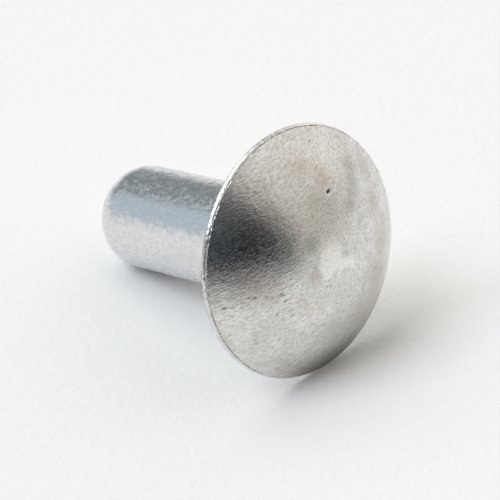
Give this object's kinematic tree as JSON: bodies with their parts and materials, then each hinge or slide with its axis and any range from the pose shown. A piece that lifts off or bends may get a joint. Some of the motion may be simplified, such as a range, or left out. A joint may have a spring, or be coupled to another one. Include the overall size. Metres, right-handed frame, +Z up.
{
  "type": "brazier head rivet",
  "caption": "Solid aluminium rivet with a wide, low domed head and a plain round shank with a rounded end.",
  "frame": {"origin": "on the surface that the rivet lies on, below the middle of its length and width", "axes": "+Z up from that surface; the rivet's axis lies in the XZ plane and rises 18.07 degrees towards the head, which is at +X"},
  "size_m": [0.0186, 0.0152, 0.0145],
  "materials": {
    "raw_aluminium": "as headed cold and tumbled: satin dome with fine streaks, mottled orange-peel shank"
  },
  "bodies": {
    "root": {"rivet": "raw_aluminium"}
  },
  "joints": []
}
